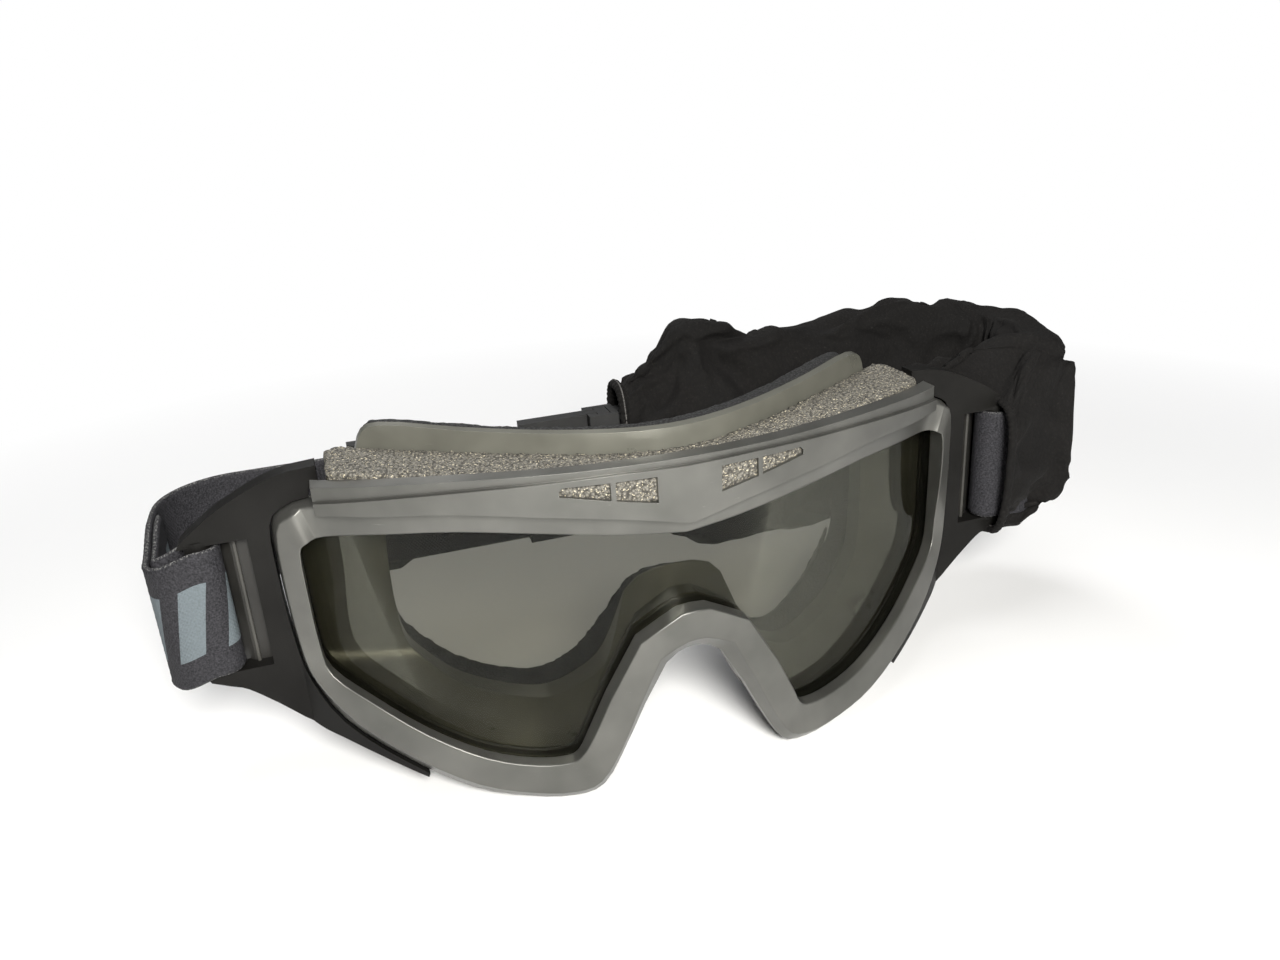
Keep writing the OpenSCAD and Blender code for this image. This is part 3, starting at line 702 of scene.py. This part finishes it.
class StrapPlan:
    """Plan curve of one side's webbing, read from the CAD boxes, all as if on the wearer's left."""

    def __init__(self, side):
        word = "left" if side == LEFT else "right"
        end_lo, end_hi = box_of("strap_end_" + word)
        main_lo, main_hi = box_of("strap_" + word)
        tail_lo, tail_hi = box_of("strap_tail_" + word)
        half = STRAP_T / 2
        if side == RIGHT:
            for lo, hi in ((end_lo, end_hi), (main_lo, main_hi), (tail_lo, tail_hi)):
                lo[0], hi[0] = -hi[0], -lo[0]
        lift = next(j for j in frame["joints"] if j["name"] == "strap_lift")
        self.side = side
        self.bottom, self.top = end_lo[2], end_hi[2]
        self.bulge = end_hi[0] - half
        self.front = end_lo[1] + half
        self.join = end_hi[1]
        self.post_y = lift["pos_m"][1]
        self.loop_r = self.post_y - self.front
        self.post_x = end_lo[0] + half + self.loop_r
        self.bend_x = self.post_x + FRONT_BEND_FROM_POST
        self.back = main_hi[1] - half
        self.tail_y = tail_lo[1] + half
        self.clip_r = (self.back - self.tail_y) / 2
        self.clip_x = main_lo[0] + half + self.clip_r
        self.tail_start = tail_lo[0]
        self.slider_r = (tail_hi[1] - tail_lo[1] - STRAP_T) / 2
        self.slider_x = tail_hi[0] - half - self.slider_r

    def mirrored(self, points):
        """The path on the plan's own side, kept running the same way round its outer face."""
        if self.side == LEFT:
            return points
        return np.column_stack([-points[:, 0], points[:, 1]])

    def end_path(self, step):
        """From the sewn inner layer, round the post, to where the main run starts."""
        outer_r = self.bulge - self.bend_x
        inner_r = outer_r - 2 * self.loop_r
        inner_x = self.bulge - STRAP_T - STRAP_LAYER_GAP
        back_y = self.post_y + self.loop_r
        corner = (inner_x - inner_r, back_y + inner_r)
        return self.mirrored(joined(
            straight((inner_x, self.join - 2 * MM), (inner_x, corner[1]), step),
            bend(corner, inner_r, 0, -90, step),
            straight((corner[0], back_y), (self.post_x, back_y), step),
            bend((self.post_x, self.post_y), self.loop_r, 90, 270, step),
            straight((self.post_x, self.front), (self.bend_x, self.front), step),
            bend((self.bend_x, self.front + outer_r), outer_r, -90, 0, step),
            straight((self.bulge, self.front + outer_r), (self.bulge, self.join), step),
            [np.array((self.bulge, self.join))]))

    def main_path(self, step):
        corner = (self.bulge - REAR_CORNER_R, self.back - REAR_CORNER_R)
        clip = (self.clip_x, (self.back + self.tail_y) / 2)
        return self.mirrored(joined(
            straight((self.bulge, self.join), (self.bulge, corner[1]), step),
            bend(corner, REAR_CORNER_R, 0, 90, step),
            straight((corner[0], self.back), (self.clip_x, self.back), step),
            bend(clip, self.clip_r, 90, 270, step),
            straight((self.clip_x, self.tail_y), (self.tail_start, self.tail_y), step),
            [np.array((self.tail_start, self.tail_y))]))

    def tail_path(self, step):
        middle = self.tail_y + self.slider_r
        end = (self.slider_x - 8 * MM, self.tail_y + 2 * self.slider_r)
        return self.mirrored(joined(
            straight((self.tail_start, self.tail_y), (self.slider_x, self.tail_y), step),
            bend((self.slider_x, middle), self.slider_r, -90, 90, step),
            straight((self.slider_x, end[1]), end, step),
            [np.array(end)]))


STRAP_STEP = RIB_ALONG
STRAP_COLUMNS = 30
SELVAGE = 1.5 * MM
RELIEF = 0.05 * MM      # how far the weave stands out
BODY_THICKNESS = 0.86   # of the selvages' thickness
CROWDING = 0.12         # how strongly the columns crowd towards the selvages


def webbing_section(bottom, top):
    """Cross-section of flat webbing: thick selvages, thin body, and a weave that steps along."""
    heights = [bottom + (top - bottom) * (0.5 - 0.5 * math.cos(math.pi * i / STRAP_COLUMNS)) * CROWDING
               + (top - bottom) * i / STRAP_COLUMNS * (1 - CROWDING) for i in range(STRAP_COLUMNS + 1)]

    def half_thickness(z):
        from_edge = min(z - bottom, top - z)
        round_end = math.sqrt(max(0.0, 1 - (1 - min(1.0, from_edge / (0.6 * MM))) ** 2))
        body = BODY_THICKNESS if from_edge > SELVAGE else 1.0
        return STRAP_T / 2 * body * max(0.25, round_end)

    def section(s):
        row = round(s / RIB_ALONG)
        outer = [(half_thickness(z) - RELIEF * ((i + row) % 2), z) for i, z in enumerate(heights)]
        return outer + [(-offset, z) for offset, z in outer[::-1]]

    return section


def sag(obj, plan, depth):
    """Lets the webbing hang a little lower where it turns back beside the head."""
    for v in obj.data.vertices:
        outwards = eased(abs(v.co.x), plan.post_x, plan.bulge)
        before_join = 1 - eased(v.co.y, plan.join - 20 * MM, plan.join - 4 * MM)
        v.co.z -= depth * outwards * before_join


def make_strap(side, web, end_web):
    """All the webbing of one side: looped end, main run and doubled-back tail."""
    plan = StrapPlan(side)
    word = "left" if side == LEFT else "right"
    section = webbing_section(plan.bottom, plan.top)
    middle = (plan.bottom + plan.top) / 2

    end_path = plan.end_path(STRAP_STEP)
    end = upright_sweep("strap_end_webbing_" + word, end_path, section, end_web, 0.0, side)
    sag(end, plan, 3.5 * MM)
    place(end, ("goggle_frame", "strap_band", (0, plan.post_y, middle), (0, plan.join, middle)), "webbing",
          "strap_end_" + word)

    end_length = frame_along(end_path)[0][-1]
    main_path = plan.main_path(STRAP_STEP)
    main = upright_sweep("strap_webbing_" + word, main_path, section, web, end_length, side)
    body = "strap_band"
    if side == RIGHT:
        body = (body, "clip_half", (side * plan.bulge, plan.join + 4 * MM, middle),
                (side * (plan.bulge - 34 * MM), plan.back, middle))
    place(main, body, "webbing", "strap_" + word)

    main_length = end_length + frame_along(main_path)[0][-1]
    tail = upright_sweep("strap_tail_webbing_" + word, plan.tail_path(STRAP_STEP), section, web,
                         main_length, -side)
    holder, slider = ("strap_band", "left_slider") if side == LEFT else ("clip_half", "right_slider")
    place(tail, (holder, slider, (side * plan.tail_start, plan.tail_y, middle),
                 (side * (plan.slider_x - 3 * MM), plan.tail_y, middle)), "webbing", "strap_tail_" + word)
    return plan


# ---- Cover sleeve ----

SLEEVE_STEP = 1.5 * MM
SLEEVE_AROUND = 84      # points round each ring of the sleeve
SQUARENESS = 3.2        # power of its rounded outline, 2 for a plain oval
SLEEVE_THICKNESS = 0.8 * MM
SLEEVE_SPLIT = 0.26     # share of its length where its front and rear pieces meet


def rounded_loop(half_across, half_up):
    """Closed oval with flattened sides, as (across, up) pairs."""
    def squared(value):
        return math.copysign(abs(value) ** (2 / SQUARENESS), value)

    return [(half_across * squared(math.cos(t)), half_up * squared(math.sin(t)))
            for t in turns(SLEEVE_AROUND)]


PUFF_ROOM = 2.5 * MM    # left between the sheet and the CAD box for the sleeve's folds
INNER_SLACK = 6 * MM    # how much further the sleeve stands off the strap on its inner side


class SleevePlan:
    """Where the bunched sleeve runs, read from the CAD boxes."""

    def __init__(self, strap):
        lo, hi = box_of("cover_sleeve")
        self.bottom, self.top = lo[2], hi[2]
        self.outside = hi[0] - strap.bulge - PUFF_ROOM
        self.inside = self.outside + INNER_SLACK
        self.front_x = box_of("sleeve_front_hem")[1][0]
        self.rear_x = box_of("sleeve_rear_hem")[1][0]
        self.strap = strap

    def path(self, step):
        s = self.strap
        outer_r = s.bulge - s.bend_x
        corner = (s.bulge - REAR_CORNER_R, s.back - REAR_CORNER_R)
        return joined(
            straight((self.front_x, s.front), (s.bend_x, s.front), step),
            bend((s.bend_x, s.front + outer_r), outer_r, -90, 0, step),
            straight((s.bulge, s.front + outer_r), (s.bulge, corner[1]), step),
            bend(corner, REAR_CORNER_R, 0, 90, step),
            straight((corner[0], s.back), (self.rear_x, s.back), step),
            [np.array((self.rear_x, s.back))])


HEM_TOP = 9 * MM        # the rear hem above the strap
NECK_TOP = 4 * MM       # the first step up from the rear hem
FRONT_DROP = 4.4 * MM   # the front hem's lower edge below the strap
FRONT_LIFT = 2.6 * MM   # how far that edge rises just behind the hem
SLEEVE_HANG = 14 * MM   # how far the sleeve hangs below the strap behind
SLEEVE_RISE = 3 * MM    # how much higher its top is behind
SLEEVE_WAVE = 2.6 * MM  # rise and fall of its top behind
WAVE_LENGTH = 62 * MM
WAVE_CREST = 22 * MM    # from the rear hem


def sleeve_section(plan, length):
    """Cross-section of the sleeve at a distance along it, before it is gathered. Its top stands proud
    of the strap all along, its lower edge is short beside the outrigger and hangs down behind."""
    strap_top, strap_bottom = plan.strap.top, plan.strap.bottom

    def section(s):
        left = length - s
        behind = eased(s, 50 * MM, 80 * MM)
        wave = SLEEVE_WAVE * math.cos(2 * math.pi * (left - WAVE_CREST) / WAVE_LENGTH)
        high = plan.top - SLEEVE_THICKNESS + (SLEEVE_RISE + wave) * behind
        low = strap_top + HEM_TOP + NECK_TOP * eased(left, 0, 9 * MM)
        top = low + (high - low) * eased(left, 7 * MM, 18 * MM)
        hang = eased(s, 38 * MM, 66 * MM) * eased(left, 6 * MM, 26 * MM)
        lift = FRONT_LIFT * eased(s, 6 * MM, 16 * MM)
        bottom = strap_bottom - FRONT_DROP + lift - SLEEVE_HANG * hang
        across = (plan.outside + plan.inside) / 2 * (0.78 + 0.18 * eased(left, 0, 16 * MM))
        shift = (plan.outside - plan.inside) / 2
        half_up, centre = (top - bottom) / 2, (top + bottom) / 2
        return [(shift + a, centre + z) for a, z in rounded_loop(across, half_up)]

    return section


# How far along +X the mouth stands from the CAD hem, in front of the outrigger and behind it, and how
# high its top edge is in front and how much higher behind
MOUTH_FRONT, MOUTH_BEHIND = 2.7 * MM, -20 * MM
MOUTH_TOP, MOUTH_RISE = 24.5 * MM, 13.5 * MM
SLANT_SHARE, SLANT_ROWS = 0.2, 7  # share of the rows drawn along it, and rows drawn to its height


def slant_mouth(tube, plan, rows):
    """Draws the first rows of the tube out to the slanted mouth: its top edge lies along the
    outrigger's top edge, its inner side reaches in behind the outrigger."""
    post = plan.strap.post_y
    start, high = plan.strap.top - 12 * MM, plan.top
    for i, v in enumerate(tube.data.vertices):
        row = i // SLEEVE_AROUND
        behind = eased(v.co.y, post - 2.5 * MM, post + 5.5 * MM)
        reach = MOUTH_FRONT + (MOUTH_BEHIND - MOUTH_FRONT) * behind
        v.co.x += reach * (1 - eased(row, 0, SLANT_SHARE * rows))
        edge_top = MOUTH_TOP + MOUTH_RISE * behind
        upper = min(1.0, max(0.0, (v.co.z - start) / (high - start)))
        v.co.z += (edge_top - high) * upper * (1 - eased(row, 0, SLANT_ROWS))


def sleeve_tube(plan):
    """Open tube of jersey round the strap, from hem to hem. The map "run" holds the distance along it
    and the share of the way round."""
    path = plan.path(SLEEVE_STEP)
    travel, normal = frame_along(path)
    section = sleeve_section(plan, travel[-1])
    count = SLEEVE_AROUND
    verts, faces = skin(path, normal, [section(s) for s in travel])
    tube = new_object("cover_sleeve_tube", verts, faces, SLEEVE_KNIT)
    layer = tube.data.uv_layers.new(name="run")
    for polygon in tube.data.polygons:
        seam = polygon.index % count == count - 1
        for k in polygon.loop_indices:
            row, column = divmod(tube.data.loops[k].vertex_index, count)
            layer.data[k].uv = (travel[row], 1.0 if seam and column == 0 else column / count)
    ends = list(range(count)) + list(range((len(path) - 1) * count, len(path) * count))
    return tube, ends, len(path), travel[-1]


def finer_sheet(obj):
    """One round of subdivision, with the open ends kept in place."""
    finer = obj.modifiers.new("finer", "SUBSURF")
    finer.levels = finer.render_levels = 1
    finer.boundary_smooth = "PRESERVE_CORNERS"
    apply_modifiers(obj)


BROAD_FOLD, PLEAT, CRUMPLE = 3.8 * MM, 0.9 * MM, 0.4 * MM
PLEAT_SHARPNESS = 5
PLEAT_MEAN = 0.55


def fold_height(along, turn):
    """Height of the gathers: broad soft folds across the strap, sharper pleats on them, and crumple."""
    c, s = math.cos(turn), math.sin(turn)
    drift = noise.noise((along / (26 * MM), 1.6 * c, 1.6 * s))
    broad = noise.noise((along / (15 * MM) + 1.5 * drift, 1.3 * c + 4, 1.3 * s))
    from_pleat = noise.noise((along / (9 * MM) + 2.2 * drift, 1.9 * c + 9, 1.9 * s))
    pleat = 1 / (1 + (PLEAT_SHARPNESS * from_pleat) ** 2)
    crumple = noise.noise((along / (6 * MM), 5 * c, 5 * s + 3))
    return BROAD_FOLD * broad + PLEAT * (pleat - PLEAT_MEAN) + CRUMPLE * crumple


def gather(tube, length):
    """Presses the folds into the sleeve, dying away at its two hems."""
    mesh = tube.data
    layer = mesh.uv_layers["run"].data
    run = {loop.vertex_index: layer[loop.index].uv.copy() for loop in mesh.loops}

    def fold(v):
        along, share = run[v.index]
        hold = eased(along, 0, 9 * MM) * eased(length - along, 0, 7 * MM)
        return hold * fold_height(along, 2 * math.pi * share)

    push_out(mesh, fold)


def split_sheet(sheet, cut, name, first):
    """Keeps the faces before the cut, a distance along, if first, else those after it."""
    part = sheet.copy()
    part.data = sheet.data.copy()
    part.name = part.data.name = name
    bpy.context.scene.collection.objects.link(part)
    bm = bmesh.new()
    bm.from_mesh(part.data)
    run = bm.loops.layers.uv["run"]
    gone = []
    for face in bm.faces:
        middle = sum(loop[run].uv.x for loop in face.loops) / len(face.loops)
        if (middle > cut) == first:
            gone.append(face)
    bmesh.ops.delete(bm, geom=gone, context="FACES")
    bm.to_mesh(part.data)
    bm.free()
    return part


def thicken(obj):
    """Gives a sheet its thickness inwards."""
    solid = obj.modifiers.new("thickness", "SOLIDIFY")
    solid.thickness = SLEEVE_THICKNESS
    solid.offset = -1
    apply_modifiers(obj)
    shade_smooth(obj.data)


def make_sleeve(strap):
    """Bunched sleeve in two pieces, front and rear, split a share of the way along. Gives back the rings
    of its hems.
    """
    plan = SleevePlan(strap)
    tube, ends, rows, length = sleeve_tube(plan)
    slant_mouth(tube, plan, rows)
    inflate(tube, 0.5, 3.5 * MM, frames=24, growth=0.22, pinned=ends, stiffness=12.0, bending=0.15)
    mouth, tail = ring_of(tube, 0), ring_of(tube, rows - 1)
    finer_sheet(tube)
    gather(tube, length)
    middle = (plan.top + plan.bottom) / 2
    front = split_sheet(tube, SLEEVE_SPLIT * length, "cover_sleeve_front", True)
    rear = split_sheet(tube, SLEEVE_SPLIT * length, "cover_sleeve_rear", False)
    bpy.data.objects.remove(tube)
    thicken(front)
    thicken(rear)
    place(front, ("strap_band", "front_hem", (strap.bulge - 6 * MM, strap.front, middle),
                  (plan.front_x + 1 * MM, strap.front, middle)), "sleeve_knit", "cover_sleeve")
    place(rear, ("strap_band", "rear_hem", (strap.bulge - REAR_CORNER_R, strap.back, middle),
                 (plan.rear_x + 2 * MM, strap.back, middle)), "sleeve_knit")
    return mouth, tail


def ring_of(tube, row):
    """The points of one ring of the sleeve tube."""
    first = row * SLEEVE_AROUND
    return [v.co.copy() for v in tube.data.vertices[first:first + SLEEVE_AROUND]]


def finer_loop(points, times):
    """Closed loop with extra points between each pair, on a smooth curve."""
    n = len(points)
    out = []
    for i in range(n):
        a, b, c, d = points[i - 1], points[i], points[(i + 1) % n], points[(i + 2) % n]
        for k in range(times):
            t = k / times
            out.append(0.5 * (2 * b + (c - a) * t + (2 * a - 5 * b + 4 * c - d) * t * t
                              + (3 * b - a - 3 * c + d) * t * t * t))
    return out


SIDEWAYS = Vector((1, 0, 0))  # the hems' rings stand across this
PIPING_SIDES = 14
PIPING_WIDTH = 1.15     # of its thickness
GATHERS, PINCH = 44, 0.16
STITCH_SIDES = 6
STITCH_HALF = 0.9 * MM
STITCH_R = 0.22 * MM
STITCH_EVERY = 5        # points of the loop


def way_out(loop, i):
    """Directions along a loop of points and out from it, at one of them."""
    along = (loop[(i + 1) % len(loop)] - loop[i - 1]).normalized()
    return along, along.cross(SIDEWAYS).normalized()


def make_piping(name, loop, radius):
    """Closed piping along a loop of points, pinched by gathers."""
    verts = []
    for i, p in enumerate(loop):
        out = way_out(loop, i)[1]
        pinch = 1 - PINCH * (0.5 + 0.5 * math.cos(2 * math.pi * GATHERS * i / len(loop)))
        for t in turns(PIPING_SIDES):
            spoke = SIDEWAYS * (math.cos(t) * PIPING_WIDTH) + out * math.sin(t)
            verts.append(p + spoke * (radius * pinch))
    return new_object(name, verts, tube_faces(len(loop), PIPING_SIDES, closed=True), SLEEVE_KNIT)


def add_stitch(bm, start, end):
    """Adds one short rounded stitch to a bmesh."""
    along = end - start
    turn = along.to_track_quat("Z", "Y").to_matrix()
    spokes = [turn @ Vector((math.cos(t), math.sin(t), 0)) for t in turns(STITCH_SIDES)]
    rings = ((0.0, 0.35), (0.15, 0.9), (0.5, 1.0), (0.85, 0.9), (1.0, 0.35))
    points = [bm.verts.new(start + along * share + spoke * (STITCH_R * swell))
              for share, swell in rings for spoke in spokes]
    for face in tube_faces(len(rings), STITCH_SIDES):
        bm.faces.new([points[i] for i in face])
    bm.faces.new(points[STITCH_SIDES - 1::-1])
    bm.faces.new(points[-STITCH_SIDES:])


def make_hem(word, body, ring_points, radius):
    """Piped elastic hem with a row of stitches round it."""
    loop = finer_loop(ring_points, 3)
    piping = make_piping(f"sleeve_{word}_hem_piping", loop, radius)
    place(piping, body, "sleeve_knit", f"sleeve_{word}_hem")
    bm = bmesh.new()
    for i in range(0, len(loop), STITCH_EVERY):
        along, out = way_out(loop, i)
        middle = loop[i] + out * (radius * 0.93)
        add_stitch(bm, middle - along * STITCH_HALF, middle + along * STITCH_HALF)
    bmesh.ops.recalc_face_normals(bm, faces=bm.faces)
    place(object_from(bm, f"sleeve_{word}_hem_stitches", THREAD), body, "sleeve_knit")


# ---- Stage ----


WHITE = rgb(1.0, 1.0, 1.0)
FADE_START, FADE_END = 0.13, 0.42  # where the floor turns to white, from the origin


def floor_material():
    """Pale sheet that fades to an even white away from the object, where nothing clear is in between."""
    n = Nodes("floor_pale")
    at = n.object_place()
    tone = n.mixed(n.noise(at, 6, 3), rgb(0.80, 0.80, 0.80), rgb(0.85, 0.85, 0.85))
    n.finish(tone, 0.85)
    distance = n.add("ShaderNodeVectorMath", enumerate((at,)), operation="LENGTH")
    far = n.spread(distance.outputs["Value"], FADE_START, FADE_END)
    path = n.add("ShaderNodeLightPath")
    direct = n.maths("LESS_THAN", path.outputs["Transparent Depth"], 0.5)
    seen = n.maths("MULTIPLY", path.outputs["Is Camera Ray"], direct)
    glow = n.add("ShaderNodeEmission", (("Color", WHITE),))
    return n.blended(n.maths("MULTIPLY", far, seen), n.shader.outputs[0], glow.outputs[0])


def make_floor(height):
    """Pale sheet that lies flat and then curves up behind."""
    half, front, back, radius, rise, steps = 6.0, -3.0, 1.6, 1.2, 3.5, 24
    profile = [(front, 0.0), (back, 0.0)]
    profile += [(back + radius * math.sin(t), radius * (1 - math.cos(t)))
                for t in (math.radians(90 * i / steps) for i in range(1, steps + 1))]
    profile.append((back + radius, rise))
    verts = [(x, y, height + z) for y, z in profile for x in (-half, half)]
    faces = [(2 * i, 2 * i + 1, 2 * i + 3, 2 * i + 2) for i in range(len(profile) - 1)]
    new_object("floor", verts, faces, floor_material())


def area_light(name, place_at, target, size, power, colour=(1.0, 1.0, 1.0)):
    data = bpy.data.lights.new(name, "AREA")
    data.shape = "DISK"
    data.size = size
    data.energy = power
    data.color = colour
    lamp = bpy.data.objects.new(name, data)
    lamp.location = place_at
    lamp.rotation_euler = (Vector(target) - Vector(place_at)).to_track_quat("-Z", "Y").to_euler()
    bpy.context.scene.collection.objects.link(lamp)


def make_room():
    """Dim even room light; the camera itself sees plain white beyond the floor's edge."""
    world = bpy.data.worlds.new("soft_room")
    world.use_nodes = True
    tree = world.node_tree
    room = tree.nodes["Background"]
    room.inputs["Color"].default_value = rgb(0.95, 0.97, 1.0)
    room.inputs["Strength"].default_value = 0.12
    backdrop = tree.nodes.new("ShaderNodeBackground")
    backdrop.inputs["Color"].default_value = WHITE
    seen = tree.nodes.new("ShaderNodeLightPath")
    mix = tree.nodes.new("ShaderNodeMixShader")
    tree.links.new(seen.outputs["Is Camera Ray"], mix.inputs[0])
    tree.links.new(room.outputs[0], mix.inputs[1])
    tree.links.new(backdrop.outputs[0], mix.inputs[2])
    tree.links.new(mix.outputs[0], tree.nodes["World Output"].inputs["Surface"])
    bpy.context.scene.world = world


def light_scene():
    make_room()
    area_light("key", (-0.05, -0.42, 0.27), (0.0, 0.0, 0.0), 0.16, 5.2, (1.0, 0.985, 0.95))
    area_light("top", (-0.12, -0.05, 0.9), (0.0, 0.0, 0.0), 0.5, 1.6)
    area_light("back", (-0.10, 0.52, 0.62), (0.0, 0.05, 0.0), 0.4, 2.6)


def aim_camera():
    """Camera above and to the wearer's right of the front, rolled a little, as the object was seen."""
    azimuth, elevation, roll = math.radians(-16.97), math.radians(22.12), math.radians(-3.45)
    data = bpy.data.cameras.new("camera")
    data.lens = 28.6
    data.sensor_width = 36.0
    data.clip_start = 0.01
    data.clip_end = 20
    camera = bpy.data.objects.new("camera", data)
    camera.matrix_world = (Matrix.Translation((-0.0678, -0.2119, 0.1130))
                           @ Matrix.Rotation(azimuth, 4, "Z")
                           @ Matrix.Rotation(math.pi / 2 - elevation, 4, "X")
                           @ Matrix.Rotation(roll, 4, "Z"))
    bpy.context.scene.collection.objects.link(camera)
    bpy.context.scene.camera = camera


# ---- Assembly ----

dress_hard_parts()
for foam_strip in ("top_vent_foam", "lower_vent_foam_left", "lower_vent_foam_right"):
    make_vent_foam(foam_strip)
make_face_foam()
make_face_lining()
strap_low, strap_high = box_of("strap_left")
WEB = webbing("strap_webbing", strap_high[2] - strap_low[2], True)
PLAIN_WEB = webbing("strap_webbing_plain", strap_high[2] - strap_low[2], False)
left_strap = make_strap(LEFT, WEB, PLAIN_WEB)
make_strap(RIGHT, WEB, WEB)
mouth_ring, tail_ring = make_sleeve(left_strap)
make_hem("front", "front_hem", mouth_ring, 1.1 * MM)
make_hem("rear", "rear_hem", tail_ring, 1.3 * MM)
make_vent_filters()
make_slot_webs(left_strap)

make_floor(cad_bounds[0][2] - 0.2 * MM)
light_scene()
aim_camera()
bpy.context.scene.view_settings.view_transform = "Standard"
